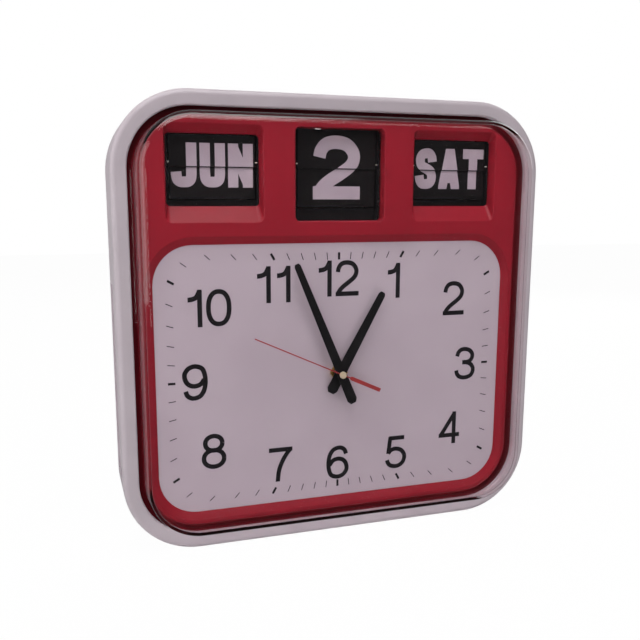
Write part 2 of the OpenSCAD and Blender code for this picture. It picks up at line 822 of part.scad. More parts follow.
// A hand drawn towards twelve: it widens from tip to tail, and both ends are cut blunt with chamfers
module hand_outline(length, tail, tip_w, tail_w) {
    tip_chamfer = 2;
    tail_chamfer = 3;
    right = [[0.3 * tip_w, length], [tip_w / 2, length - tip_chamfer],
             [tail_w / 2, tail_chamfer - tail], [0.28 * tail_w, -tail]];
    polygon(concat(right, [for (count = [3 : -1 : 0]) [-right[count][0], right[count][1]]]));
}

module hour_hand() {
    collar_h = 1;
    color("#17161a") upright() at_dial() rotate([0, 0, -hour_turn]) difference() {
        union() {
            translate([0, 0, hour_hand_z]) linear_extrude(hand_t)
                hand_outline(hour_len, hour_tail, hour_tip_w, hour_tail_w);
            translate([0, 0, hour_hand_z - collar_h]) cylinder(r = hour_tube_r + 1.4, h = collar_h);
        }
        translate([0, 0, hour_hand_z - collar_h - 1])
            cylinder(r = hour_tube_r + seat, h = collar_h + hand_t + 2);
    }
}

module minute_hand() {
    collar_h = 1;
    color("#17161a") upright() at_dial() rotate([0, 0, -minute_turn]) difference() {
        union() {
            translate([0, 0, minute_hand_z]) linear_extrude(hand_t)
                hand_outline(minute_len, minute_tail, minute_tip_w, minute_tail_w);
            translate([0, 0, minute_hand_z - collar_h]) cylinder(r = minute_shaft_r + 1.4, h = collar_h);
        }
        translate([0, 0, minute_hand_z - collar_h - 1])
            cylinder(r = minute_shaft_r + seat, h = collar_h + hand_t + 2);
    }
}

module second_hand() {
    rod_w = 0.9;
    weight_w = 3;
    weight_start = 6.6;
    shoulder = 1.2;
    eye_r = 2.2;
    color("#a3262c") upright() at_dial() rotate([0, 0, -second_turn]) translate([0, 0, second_hand_z])
        linear_extrude(hand_t) difference() {
            union() {
                translate([-rod_w / 2, -second_tail + 1]) square([rod_w, second_tail - 1 + second_len]);
                polygon([[-weight_w / 2, -second_tail], [weight_w / 2, -second_tail],
                         [weight_w / 2, -weight_start - shoulder], [rod_w / 2, -weight_start],
                         [-rod_w / 2, -weight_start], [-weight_w / 2, -weight_start - shoulder]]);
                circle(eye_r);
            }
            circle(cap_tube_r + seat);
        }
}

// Turned cap that grips the second hand and is pressed on the seconds arbor
module second_hand_cap() {
    dish_r = 1.3;
    dish_d = 0.4;
    color("#cdbf9f") upright() at_dial() translate([0, 0, second_hand_z]) difference() {
        union() {
            translate([0, 0, -cap_tube_h]) cylinder(r = cap_tube_r, h = cap_tube_h + hand_t + 0.1);
            translate([0, 0, hand_t]) cylinder(r = cap_r, h = cap_h);
        }
        translate([0, 0, -cap_tube_h - 1])
            cylinder(r = second_arbor_r + seat, h = cap_tube_h + hand_t + cap_h / 2 + 1);
        translate([0, 0, hand_t + cap_h - dish_d]) cylinder(r = dish_r, h = 1);
    }
}

// ---- Flip calendar: three like units, each drawn about its own window ----

module at_unit(place) {
    translate([place, 0, 0]) children();
}

module chassis(place, leaf_len) {
    plate_low = window_y - window_h / 2 - funnel_wall;
    plate_high = window_y + window_h / 2 + funnel_wall;
    apron_high = hinge_y - leaf_len - 0.6;
    color("#1b1a1c") upright() at_unit(place) difference() {
        union() {
            for (side = [0, 1]) {
                translate([side * (2 * plate_x + plate_t) - plate_x - plate_t, 0, 0]) along_x()
                    linear_extrude(plate_t) polygon([
                        [hinge_y - 12, wheel_z - 4], [hinge_y + 8, wheel_z - 4], [plate_high, ear_z - 12],
                        [plate_high, plate_front_z], [plate_low, plate_front_z], [plate_low, ear_z - 16]]);
            }
            for (side = [-1, 1], height = post_ys) {
                translate([side * (plate_x + plate_t + (post_x - plate_x - plate_t) / 2), height,
                    ear_z + ear_t / 2])
                    cube([post_x - plate_x - plate_t + 0.02, 2 * post_r, ear_t], center = true);
                translate([side * post_x, height, ear_z]) cylinder(r = post_r, h = panel_back_z - ear_z);
            }
            translate([-plate_x - 0.01, plate_low, pack_back_z - 2])
                cube([2 * plate_x + 0.02, apron_high - plate_low, 2.5]);
            translate([-plate_x - 0.01, plate_low, ear_z - 16])
                cube([2 * plate_x + 0.02, 4, 8]);
        }
        translate([-plate_x - plate_t - 1, hinge_y, drum_z]) along_x()
            cylinder(r = axle_r + running, h = 2 * (plate_x + plate_t + 1));
        translate([-plate_x - plate_t - 1, hinge_y, hinge_z]) along_x()
            cylinder(r = leaf_pin_r + running, h = 2 * (plate_x + plate_t + 1));
        translate([plate_x - 1, hinge_y, wheel_z]) along_x()
            cylinder(r = wheel_axle_r + running, h = plate_t + 2);
        translate([plate_x - 1, motor_y, drum_z]) along_x()
            cylinder(r = motor_shaft_r + 0.3, h = plate_t + 2);
        for (side = [-1, 1], height = post_ys)
            translate([side * post_x, height, ear_z - 1]) cylinder(r = unit_screw_r + 0.3, h = 12);
    }
}

module drum(place) {
    disc_x = plate_x - disc_t - 0.5;
    hole_r = 0.7;
    color("#d8d4cc") upright() at_unit(place) translate([0, hinge_y, drum_z]) {
        translate([-plate_x - plate_t, 0, 0]) along_x()
            cylinder(r = axle_r, h = gear_x + gear_t + plate_x + plate_t);
        translate([-disc_x, 0, 0]) along_x() cylinder(r = drum_hub_r, h = 2 * disc_x);
        for (side = [0, 1]) translate([side * (2 * disc_x - disc_t) - disc_x, 0, 0]) along_x() difference() {
            cylinder(r = drum_r, h = disc_t);
            for (count = [0 : 11]) rotate([0, 0, 30 * count])
                translate([drum_r - 1.6, 0, -1]) cylinder(r = hole_r, h = disc_t + 2, $fn = 24);
        }
        translate([gear_x, 0, 0]) along_x() linear_extrude(gear_t) gear_2d(drum_teeth, calendar_module);
    }
}

// A leaf standing (side 1) or hanging (side -1) from the hinge line, so many steps behind the front one
module leaf(leaf_len, side, steps, pin_end) {
    edge = 0.15;
    pin_r = steps == 0 ? leaf_pin_r : leaf_t / 2;
    translate([0, hinge_y, hinge_z - steps * leaf_step]) {
        translate([-leaf_w / 2, side > 0 ? edge : -leaf_len, -leaf_t / 2])
            cube([leaf_w, leaf_len - edge, leaf_t]);
        translate([-pin_end, 0, 0]) along_x() cylinder(r = pin_r, h = 2 * pin_end, $fn = 24);
    }
}

module falling_leaf(place, leaf_len) {
    color("#151316") upright() at_unit(place) leaf(leaf_len, 1, 0, plate_x + 1);
}

module waiting_leaves(place, leaf_len) {
    color("#151316") upright() at_unit(place)
        for (steps = [2 : 2 : pack_count]) leaf(leaf_len, 1, steps, plate_x);
}

module dropped_leaves(place, leaf_len) {
    color("#151316") upright() at_unit(place)
        for (steps = [1 : 2 : pack_count]) leaf(leaf_len, -1, steps, plate_x);
}

module setting_wheel(place) {
    grips = 24;
    color("#e0dcd4") upright() at_unit(place) translate([0, hinge_y, wheel_z]) {
        translate([plate_x, 0, 0]) along_x() cylinder(r = wheel_axle_r, h = wheel_x + wheel_t - plate_x);
        translate([gear_x, 0, 0]) along_x() linear_extrude(gear_t)
            rotate([0, 0, mesh_turn(drum_teeth, 0, wheel_teeth, -90)]) gear_2d(wheel_teeth, calendar_module);
        translate([wheel_x, 0, 0]) along_x() linear_extrude(wheel_t) difference() {
            circle(wheel_r);
            for (count = [0 : grips - 1]) rotate([0, 0, 360 * count / grips])
                translate([wheel_r, 0]) circle(0.6, $fn = 24);
        }
    }
}

module motor(place) {
    color("#b4b7bb") upright() at_unit(place)
        translate([plate_x - motor_len, motor_y, drum_z]) along_x() cylinder(r = motor_r, h = motor_len);
}

module motor_pinion(place) {
    color("#c9a552") upright() at_unit(place) translate([0, motor_y, drum_z]) {
        translate([gear_x, 0, 0]) along_x() linear_extrude(gear_t)
            rotate([0, 0, mesh_turn(drum_teeth, 0, pinion_teeth, 180)])
                gear_2d(pinion_teeth, calendar_module);
        translate([plate_x + 0.1, 0, 0]) along_x() cylinder(r = motor_shaft_r, h = gear_x - plate_x);
    }
}

front_frame();
clear_cover();
window_panel();
dial_plate();
rear_cover();
hanger_plate();
battery_box();
battery_door();
battery_cells();
battery_contacts();
panel_screws();
case_screws();
calendar_screws();
control_board();
movement_case();
movement_back();
gear_plate();
movement_coil();
rubber_washer();
fixing_nut();
hour_wheel();
minute_shaft();
seconds_arbor();
motion_wheel();
setting_knob();
hour_hand();
minute_hand();
second_hand();
second_hand_cap();
chassis(month_x, word_leaf);  // month_chassis
drum(month_x);  // month_drum
falling_leaf(month_x, word_leaf);  // month_falling_leaf
waiting_leaves(month_x, word_leaf);  // month_waiting_leaves
dropped_leaves(month_x, word_leaf);  // month_dropped_leaves
setting_wheel(month_x);  // month_setting_wheel
motor(month_x);  // month_motor
motor_pinion(month_x);  // month_motor_pinion
chassis(date_x, date_leaf);  // date_chassis
drum(date_x);  // date_drum
falling_leaf(date_x, date_leaf);  // date_falling_leaf
waiting_leaves(date_x, date_leaf);  // date_waiting_leaves
dropped_leaves(date_x, date_leaf);  // date_dropped_leaves
setting_wheel(date_x);  // date_setting_wheel
motor(date_x);  // date_motor
motor_pinion(date_x);  // date_motor_pinion
chassis(weekday_x, word_leaf);  // weekday_chassis
drum(weekday_x);  // weekday_drum
falling_leaf(weekday_x, word_leaf);  // weekday_falling_leaf
waiting_leaves(weekday_x, word_leaf);  // weekday_waiting_leaves
dropped_leaves(weekday_x, word_leaf);  // weekday_dropped_leaves
setting_wheel(weekday_x);  // weekday_setting_wheel
motor(weekday_x);  // weekday_motor
motor_pinion(weekday_x);  // weekday_motor_pinion
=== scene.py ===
# Finishes, printed marks and studio for a square wall clock with a flip calendar
import json
import math

import bmesh
import bpy
from mathutils import Matrix, Vector


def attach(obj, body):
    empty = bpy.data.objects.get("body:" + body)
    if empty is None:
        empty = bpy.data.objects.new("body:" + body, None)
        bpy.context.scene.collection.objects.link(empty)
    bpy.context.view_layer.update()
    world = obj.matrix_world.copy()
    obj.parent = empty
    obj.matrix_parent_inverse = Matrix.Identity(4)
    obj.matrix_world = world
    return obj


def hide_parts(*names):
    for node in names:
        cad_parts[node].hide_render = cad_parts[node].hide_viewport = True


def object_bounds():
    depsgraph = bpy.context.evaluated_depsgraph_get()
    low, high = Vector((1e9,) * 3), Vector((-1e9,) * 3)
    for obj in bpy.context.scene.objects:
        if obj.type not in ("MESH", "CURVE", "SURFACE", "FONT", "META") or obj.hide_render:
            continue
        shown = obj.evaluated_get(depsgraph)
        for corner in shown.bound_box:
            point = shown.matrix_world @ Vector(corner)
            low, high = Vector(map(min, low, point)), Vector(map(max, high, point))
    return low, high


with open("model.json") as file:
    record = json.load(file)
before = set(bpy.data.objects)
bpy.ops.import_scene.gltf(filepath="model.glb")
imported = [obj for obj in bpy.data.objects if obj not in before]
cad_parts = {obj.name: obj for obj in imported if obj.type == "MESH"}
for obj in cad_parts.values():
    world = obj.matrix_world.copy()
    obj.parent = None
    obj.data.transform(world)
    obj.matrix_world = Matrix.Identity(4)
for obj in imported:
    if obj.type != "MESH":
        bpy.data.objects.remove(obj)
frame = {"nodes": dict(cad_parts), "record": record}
cad_box = [list(corner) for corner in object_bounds()]

MM = 0.001

# The clock's own directions: x to the right, up the dial, and out of the wall, in mm
FACE = Matrix(((1, 0, 0), (0, 0, -1), (0, 1, 0))).to_4x4() @ Matrix.Scale(MM, 4)

# Sizes in mm that the scene shares with the solids
PANEL_FRONT, PANEL_W, PANEL_H, PANEL_R = 56.1, 298, 297, 38
PANEL_WALL, PANEL_FOOT, FLANGE_TOP, FLANGE_OUT = 1.6, 52, 54, 14
DIAL_FRONT, DIAL_Y = 53.1, -39.8
DIAL_W, DIAL_H, DIAL_R = 279.6, 199, 28.8
BEVEL_W, BEVEL_FOOT = 5, 53.4
WINDOW_Y, WINDOW_W, WINDOW_H, WINDOW_R = 109.2, 70, 67, 4
FUNNEL_REAR, FUNNEL_R = 48.6, 3
HINGE_Y, HINGE_OUT, CHASSIS_SIDE = 114.1, 47.3, 32.3
LEAF_T, LEAF_STEP = 0.5, 0.9
# How far right of the middle each window is, and how far its walls slope inwards: left, right, below, above
UNITS = {"month": -94, "date": 0, "weekday": 94}
WORD_FUNNEL = (1.5, 1.5, 11, 5.9)
FUNNELS = {"month": WORD_FUNNEL, "date": (0.4, 0.4, 0.4, 0.4), "weekday": WORD_FUNNEL}

# Share by which gloss varies with a finish's grain
GLOSS_SPREAD = 0.15
# A wave texture of scale 1 repeats after this many metres
WAVE_PITCH = 0.314


# ---- Materials ----


def linear(code):
    """A colour written as sRGB hex, as the linear RGBA that nodes use."""
    parts = [int(code[i:i + 2], 16) / 255 for i in (1, 3, 5)]
    return [c / 12.92 if c <= 0.04045 else ((c + 0.055) / 1.055) ** 2.4 for c in parts] + [1.0]


def add(tree, kind, links=None, **settings):
    """Adds a node with its settings; links gives each input a value or another node's output."""
    node = tree.nodes.new(kind)
    for name, value in settings.items():
        setattr(node, name, value)
    for name, value in (links or {}).items():
        if isinstance(value, bpy.types.NodeSocket):
            tree.links.new(value, node.inputs[name])
        else:
            node.inputs[name].default_value = value
    return node


def new_material(name):
    """An empty material, ready for its nodes."""
    material = bpy.data.materials.new(name)
    material.use_nodes = True
    material.node_tree.nodes.clear()
    return material


def finish(name, colour, shade, rough, grain, bump, mottle=40, stretch=(1, 1, 1), **shader):
    """A solid finish: its colour drifts slowly over mottle mm; its gloss and surface have a grain in mm."""
    material = new_material(name)
    tree = material.node_tree
    place = add(tree, "ShaderNodeTexCoord").outputs["Object"]
    fine_place = add(tree, "ShaderNodeMapping", {"Vector": place, "Scale": stretch}).outputs["Vector"]
    drift = add(tree, "ShaderNodeTexNoise", {"Vector": place, "Scale": 1 / (mottle * MM), "Detail": 3.0})
    fine = add(tree, "ShaderNodeTexNoise", {"Vector": fine_place, "Scale": 1 / (grain * MM), "Detail": 4.0})
    colours = add(tree, "ShaderNodeValToRGB", {"Fac": drift.outputs["Fac"]})
    dark, light = colours.color_ramp.elements
    dark.position, light.position = 0.3, 0.7
    dark.color, light.color = linear(shade), linear(colour)
    gloss = add(tree, "ShaderNodeMapRange", {
        "Value": fine.outputs["Fac"], "To Min": rough * (1 - GLOSS_SPREAD),
        "To Max": min(1.0, rough * (1 + GLOSS_SPREAD))})
    relief = add(tree, "ShaderNodeBump", {
        "Height": fine.outputs["Fac"], "Strength": 0.5, "Distance": bump * MM})
    surface = add(tree, "ShaderNodeBsdfPrincipled", {
        "Base Color": colours.outputs["Color"], "Roughness": gloss.outputs["Result"],
        "Normal": relief.outputs["Normal"], **shader})
    add(tree, "ShaderNodeOutputMaterial", {"Surface": surface.outputs["BSDF"]})
    return material


def banded(name, colour, groove, pitch, direction, rough, bump, **shader):
    """Fine parallel bands of a real pitch in mm, such as a wound wire."""
    material = new_material(name)
    tree = material.node_tree
    place = add(tree, "ShaderNodeTexCoord").outputs["Object"]
    bands = add(tree, "ShaderNodeTexWave", {
        "Vector": place, "Scale": WAVE_PITCH / (pitch * MM), "Distortion": 0.2}, bands_direction=direction)
    colours = add(tree, "ShaderNodeValToRGB", {"Fac": bands.outputs["Fac"]})
    dark, light = colours.color_ramp.elements
    dark.color, light.color = linear(groove), linear(colour)
    relief = add(tree, "ShaderNodeBump", {
        "Height": bands.outputs["Fac"], "Strength": 0.6, "Distance": bump * MM})
    surface = add(tree, "ShaderNodeBsdfPrincipled", {
        "Base Color": colours.outputs["Color"], "Roughness": rough,
        "Normal": relief.outputs["Normal"], **shader})
    add(tree, "ShaderNodeOutputMaterial", {"Surface": surface.outputs["BSDF"]})
    return material


def clear_moulding(name, tint, rough, swell=60):
    """Moulded acrylic: its thin wall hardly bends the view, its faces mirror, and the lamps shine through."""
    material = new_material(name)
    tree = material.node_tree
    place = add(tree, "ShaderNodeTexCoord").outputs["Object"]
    # Moulded sheet is flat to the eye but for a slow ripple of swell mm
    ripple = add(tree, "ShaderNodeTexNoise", {"Vector": place, "Scale": 1 / (swell * MM), "Detail": 1.0})
    relief = add(tree, "ShaderNodeBump", {
        "Height": ripple.outputs["Fac"], "Strength": 0.06, "Distance": 0.2 * MM})
    # The coat has acrylic's own IOR. The body's is low, because a thin wall hardly bends the view
    glass = add(tree, "ShaderNodeBsdfPrincipled", {
        "Base Color": linear(tint), "Roughness": 0.0, "IOR": 1.03, "Transmission Weight": 1.0,
        "Coat Weight": 1.0, "Coat Roughness": rough, "Coat IOR": 1.49,
        "Coat Normal": relief.outputs["Normal"]})
    lamp_ray = add(tree, "ShaderNodeLightPath").outputs["Is Shadow Ray"]
    clear = add(tree, "ShaderNodeBsdfTransparent", {"Color": linear("#FBFAFB")})
    surface = add(tree, "ShaderNodeMixShader", {0: lamp_ray, 1: glass.outputs[0], 2: clear.outputs[0]})
    add(tree, "ShaderNodeOutputMaterial", {"Surface": surface.outputs["Shader"]})
    return material


# Dull blacks: a fine texture breaks up most of their gloss
MATT = {"IOR": 1.5, "Specular IOR Level": 0.2}

# A finish's name, colour and darker shade, roughness, and the grain and depth of its surface in mm
FINISHES = {
    # Moulded ABS straight from a fine-textured tool: even, satin, no sparkle
    "frame_plastic": finish("moulded_abs_lilac", "#C8BCC3", "#C1B5BC", 0.42, 0.5, 0.012, IOR=1.53),
    # Moulded acrylic: clear, with a faint mirror image and a thin bright line along its edges
    "clear_acrylic": clear_moulding("moulded_acrylic_clear", "#FFFDFE", 0.02),
    # Satin ABS: a deep even red with a soft highlight along its edges
    "red_plastic": finish("satin_abs_red", "#961C2B", "#911B29", 0.34, 6.0, 0.001, IOR=1.5,
                          **{"Specular IOR Level": 0.2}),
    # Screen-printed styrene sheet: flat and dull, so that no glare hides the numerals
    "dial_print": finish("printed_styrene_lilac", "#C0B2BB", "#B9ABB4", 0.6, 0.4, 0.006, IOR=1.5),
    # Enamel on thin aluminium: the hour and minute hands are dull, the second hand has a soft gloss
    "black_hand": finish("enamelled_aluminium_black", "#161416", "#121012", 0.5, 0.6, 0.01, **MATT),
    "red_hand": finish("enamelled_aluminium_red", "#A22E2F", "#96292B", 0.4, 0.6, 0.01, IOR=1.5),
    # Lacquered metal: a warm cream with a soft highlight
    "cap_metal": finish("lacquered_cap_cream", "#CFC0A4", "#C3B295", 0.3, 0.4, 0.01, IOR=1.5),
    # Thin matt PVC leaves, so that the printed words read from any side
    "leaf_plastic": finish("matt_pvc_black", "#110C0E", "#0D090B", 0.6, 0.3, 0.006, **MATT),
    # Moulded ABS from a textured tool: black and even, with no clear reflection
    "black_plastic": finish("moulded_abs_black", "#181518", "#131114", 0.55, 0.5, 0.015, **MATT),
    # Acetal is natural white and waxy
    "white_nylon": finish("moulded_acetal_white", "#DEDAD0", "#D6D1C6", 0.4, 0.5, 0.01, IOR=1.48,
                          **{"Subsurface Weight": 0.05, "Subsurface Scale": 0.001}),
    # Rolled and zinc-plated sheet: fine streaks of about 0.3 mm along its length
    "steel": finish("zinc_plated_steel", "#B9BCC0", "#A3A7AC", 0.32, 0.3, 0.01, stretch=(0.08, 1, 1),
                    Metallic=1.0),
    # Turned brass: warm and bright, with faint streaks along the shafts
    "brass": finish("turned_brass", "#D9B65F", "#C9A44E", 0.28, 0.3, 0.01, stretch=(1, 0.1, 1), Metallic=1.0),
    # Enamelled wire of 0.1 mm is too fine to show, so it is drawn at 0.4 mm
    "copper": banded("enamelled_copper_wire", "#B8662E", "#6E3615", 0.4, "X", 0.35, 0.06, Metallic=1.0),
    # Moulded rubber: nearly black and quite dull
    "rubber": finish("moulded_rubber_black", "#1C1C1E", "#151517", 0.8, 0.4, 0.03, IOR=1.52),
    # Solder mask on a circuit board: smooth green, a little cloudy over its copper
    "board": finish("solder_mask_green", "#1F6B45", "#185638", 0.35, 1.2, 0.03, mottle=6, IOR=1.5),
    # Printed film shrunk onto a cell: smooth and fairly glossy
    "cell_jacket": finish("printed_cell_film", "#B08436", "#9C7229", 0.3, 0.8, 0.01, IOR=1.5),
}
# Screen ink: dull, even, and a little proud of the sheet
BLACK_INK = finish("screen_ink_black", "#191419", "#151115", 0.6, 0.3, 0.004, **MATT)
PALE_INK = finish("screen_ink_pale", "#B8A9B3", "#AC9CA7", 0.6, 0.3, 0.004, IOR=1.5)

for part in frame["record"]["subparts"]:
    mesh = frame["nodes"][part["node"]].data
    mesh.materials.clear()
    mesh.materials.append(FINISHES[part["material_slot"]])
    for polygon in mesh.polygons:
        polygon.material_index = 0


# ---- Pieces ----


def placed_mesh(bm, name):
    """The mesh of a shape drawn in the clock's own directions and in mm, in its place in the scene."""
    bm.transform(FACE)
    mesh = bpy.data.meshes.new(name)
    bm.to_mesh(mesh)
    bm.free()
    return mesh


def settle(name, mesh, material, body):
    """Puts a finished mesh, already in place, into the scene on its body."""
    piece = bpy.data.objects.new(name, mesh)
    bpy.context.scene.collection.objects.link(piece)
    mesh.materials.clear()
    mesh.materials.append(material)
    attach(piece, body)
    return piece


def ring(bm, left, right, low, high, radius, out, steps=10):
    """One rounded rectangle of vertices, counter-clockwise from the lower right corner."""
    corners = ((right, low, 270), (right, high, 0), (left, high, 90), (left, low, 180))
    verts = []
    for x, y, start in corners:
        cx = x - radius if x == right else x + radius
        cy = y - radius if y == high else y + radius
        for i in range(steps + 1):
            turn = math.radians(start + 90 * i / steps)
            verts.append(bm.verts.new((cx + radius * math.cos(turn), cy + radius * math.sin(turn), out)))
    return verts


def band(bm, outer, inner):
    """Joins two rings, the outer first, with faces towards the reader."""
    for i in range(len(outer)):
        j = (i + 1) % len(outer)
        bm.faces.new((outer[i], outer[j], inner[j], inner[i]))


def opening(bm, left, right, low, high, radius, insets, rear_radius, rear):
    """The rounded lip and the sloping walls of an opening; insets are left, right, low, high at the rear."""
    # Each step of the lip: how far it widens the opening, and its drop from the panel's face
    lip = ((1.0, 0.0), (0.55, -0.08), (0.18, -0.3), (0.0, -0.7))
    rings = [ring(bm, left - grow, right + grow, low - grow, high + grow, radius + grow, PANEL_FRONT + drop)
             for grow, drop in lip]
    rings.append(ring(bm, left + insets[0], right - insets[1], low + insets[2], high - insets[3],
                      rear_radius, rear))
    for outer, inner in zip(rings, rings[1:]):
        band(bm, outer, inner)
    return rings[0]


def make_panel():
    """The red panel as one moulded shell: soft edges at rim, windows and dial, and a flange below its rim."""
    bm = bmesh.new()
    # Steps from the face to the flange's foot: how far inside the panel's side, and how far from the wall
    rim = ((1.0, PANEL_FRONT), (0.5, PANEL_FRONT - 0.1), (0.1, PANEL_FRONT - 0.5), (0.0, PANEL_FRONT - 1.0),
           (0.0, FLANGE_TOP + 0.2), (-0.2, FLANGE_TOP), (-FLANGE_OUT, FLANGE_TOP), (-FLANGE_OUT, PANEL_FOOT))
    rings = [ring(bm, inset - PANEL_W / 2, PANEL_W / 2 - inset, inset - PANEL_H / 2, PANEL_H / 2 - inset,
                  PANEL_R - inset, out) for inset, out in rim]
    for inner, outer in zip(rings, rings[1:]):
        band(bm, outer, inner)
    edges = [rings[0]]
    half_w, half_h = DIAL_W / 2 + BEVEL_W, DIAL_H / 2 + BEVEL_W
    edges.append(opening(bm, -half_w, half_w, DIAL_Y - half_h, DIAL_Y + half_h, DIAL_R + BEVEL_W,
                         (BEVEL_W,) * 4, DIAL_R, BEVEL_FOOT))
    for unit, x in UNITS.items():
        edges.append(opening(bm, x - WINDOW_W / 2, x + WINDOW_W / 2, WINDOW_Y - WINDOW_H / 2,
                             WINDOW_Y + WINDOW_H / 2, WINDOW_R, FUNNELS[unit], FUNNEL_R, FUNNEL_REAR))
    border = []
    for loop in edges:
        for i, vert in enumerate(loop):
            border.append(bm.edges.get((vert, loop[(i + 1) % len(loop)])))
    bmesh.ops.triangle_fill(bm, use_beauty=True, use_dissolve=False, edges=border, normal=(0, 0, 1))
    for face in bm.faces:
        face.smooth = abs(face.normal.z) < 0.999  # all but the flat face
    mesh = placed_mesh(bm, "panel_shell")
    panel = settle("panel_shell", mesh, FINISHES["red_plastic"], "root")
    wall = panel.modifiers.new("wall", "SOLIDIFY")
    wall.thickness, wall.offset = PANEL_WALL * MM, -1
    panel.modifiers.new("even_slopes", "WEIGHTED_NORMAL")
    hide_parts("window_panel")


# ---- Print: centre lines of each character, from (0, 0) to (1, 1) between the strokes' middles ----


def oval(cx, cy, rx, ry, power=2.3, count=40):
    """A closed loop: an ellipse at power 2, and squarer above that."""
    turns = [2 * math.pi * i / count for i in range(count + 1)]
    return [(cx + rx * math.copysign(abs(math.cos(t)) ** (2 / power), math.cos(t)),
             cy + ry * math.copysign(abs(math.sin(t)) ** (2 / power), math.sin(t))) for t in turns]


SIX = [(0.96, 0.77), (0.88, 0.91), (0.70, 0.99), (0.50, 1.0), (0.24, 0.93), (0.06, 0.74), (0.0, 0.48),
       (0.04, 0.24), (0.17, 0.07), (0.48, 0.0), (0.78, 0.05), (0.96, 0.18), (1.0, 0.31), (0.92, 0.48),
       (0.74, 0.59), (0.5, 0.62), (0.24, 0.57), (0.06, 0.42)]
CHARACTERS = {
    "0": [("line", oval(0.5, 0.5, 0.5, 0.5))],
    "1": [("line", [(1, -0.3), (1, 1.3)]),
          ("curve", [(-0.6, 0.76), (0.2, 0.785), (0.66, 0.85), (1.0, 1.03)])],
    "2": [("curve", [(0, 0.70), (0.05, 0.84), (0.2, 0.96), (0.48, 1.0), (0.78, 0.95), (0.96, 0.80),
                     (0.97, 0.65), (0.86, 0.52), (0.6, 0.38), (0.3, 0.24), (0.1, 0.11), (0.02, 0.0)]),
          ("line", [(-0.5, 0), (1.5, 0)])],
    "3": [("curve", [(0.02, 0.76), (0.10, 0.90), (0.25, 0.98), (0.48, 1.0), (0.75, 0.95), (0.92, 0.82),
                     (0.90, 0.67), (0.74, 0.565), (0.5, 0.54), (0.34, 0.54)]),
          ("curve", [(0.34, 0.54), (0.52, 0.54), (0.80, 0.48), (0.97, 0.35), (0.98, 0.2), (0.84, 0.06),
                     (0.50, 0.0), (0.2, 0.04), (0.04, 0.15), (0.0, 0.27)])],
    "4": [("line", [(0.78, -0.3), (0.78, 1.3)]), ("line", [(0.80, 1.02), (0.0, 0.24)]),
          ("line", [(-0.5, 0.24), (1.5, 0.24)])],
    "5": [("line", [(0.1, 1), (0.97, 1)]), ("line", [(0.17, 1.04), (0.06, 0.46)]),
          ("curve", [(0.06, 0.47), (0.22, 0.58), (0.48, 0.62), (0.78, 0.56), (0.96, 0.42), (0.99, 0.28),
                     (0.90, 0.12), (0.68, 0.02), (0.45, 0.0), (0.2, 0.04), (0.05, 0.14), (0.0, 0.24)])],
    "6": [("curve", SIX)],
    "7": [("line", [(-0.5, 1), (1.5, 1)]),
          ("curve", [(1.0, 1.0), (0.74, 0.78), (0.54, 0.54), (0.40, 0.28), (0.33, -0.1)])],
    "8": [("line", oval(0.5, 0.765, 0.42, 0.235, 2.1)), ("line", oval(0.5, 0.27, 0.5, 0.27, 2.1))],
    "9": [("curve", [(1 - x, 1 - y) for x, y in SIX])],
    "A": [("line", [(-0.05, -0.2), (0.52, 1.2)]), ("line", [(1.05, -0.2), (0.48, 1.2)]),
          ("line", [(0.1, 0.2), (0.9, 0.2)])],
    "J": [("curve", [(1, 1.3), (1, 0.8), (1, 0.3), (0.95, 0.1), (0.78, 0.015), (0.5, 0), (0.22, 0.015),
                     (0.05, 0.1), (0, 0.3)])],
    "L": [("line", [(0, -0.3), (0, 1.3)]), ("line", [(-0.5, 0), (1.5, 0)])],
    "N": [("line", [(0, -0.3), (0, 1.3)]), ("line", [(1, -0.3), (1, 1.3)]),
          ("line", [(-0.1, 1.15), (1.1, -0.15)])],
    "S": [("curve", [(0.98, 0.72), (0.92, 0.88), (0.74, 0.985), (0.5, 1.0), (0.2, 0.96), (0.04, 0.84),
                     (0.05, 0.68), (0.2, 0.58), (0.5, 0.51), (0.8, 0.43), (0.97, 0.3), (0.96, 0.14),
                     (0.8, 0.03), (0.5, 0), (0.22, 0.02), (0.06, 0.12), (0, 0.28)])],
    "T": [("line", [(0.5, -0.3), (0.5, 1.3)]), ("line", [(-0.5, 1), (1.5, 1)])],
    "U": [("curve", [(0, 1.3), (0, 0.8), (0, 0.3), (0.05, 0.1), (0.22, 0.015), (0.5, 0), (0.78, 0.015),
                     (0.95, 0.1), (1, 0.3), (1, 0.8), (1, 1.3)])],
}


def smoothed(points, steps=6):
    """A soft curve through the points, each stretch a cubic that follows its neighbours."""
    ends = [points[0]] + points + [points[-1]]
    path = []
    for a, b, c, d in zip(ends, ends[1:], ends[2:], ends[3:]):
        for i in range(steps):
            t = i / steps
            path.append(tuple(0.5 * (2 * q + (r - p) * t + (2 * p - 5 * q + 4 * r - s) * t * t
                                     + (3 * q - p - 3 * r + s) * t ** 3) for p, q, r, s in zip(a, b, c, d)))
    return path + [points[-1]]


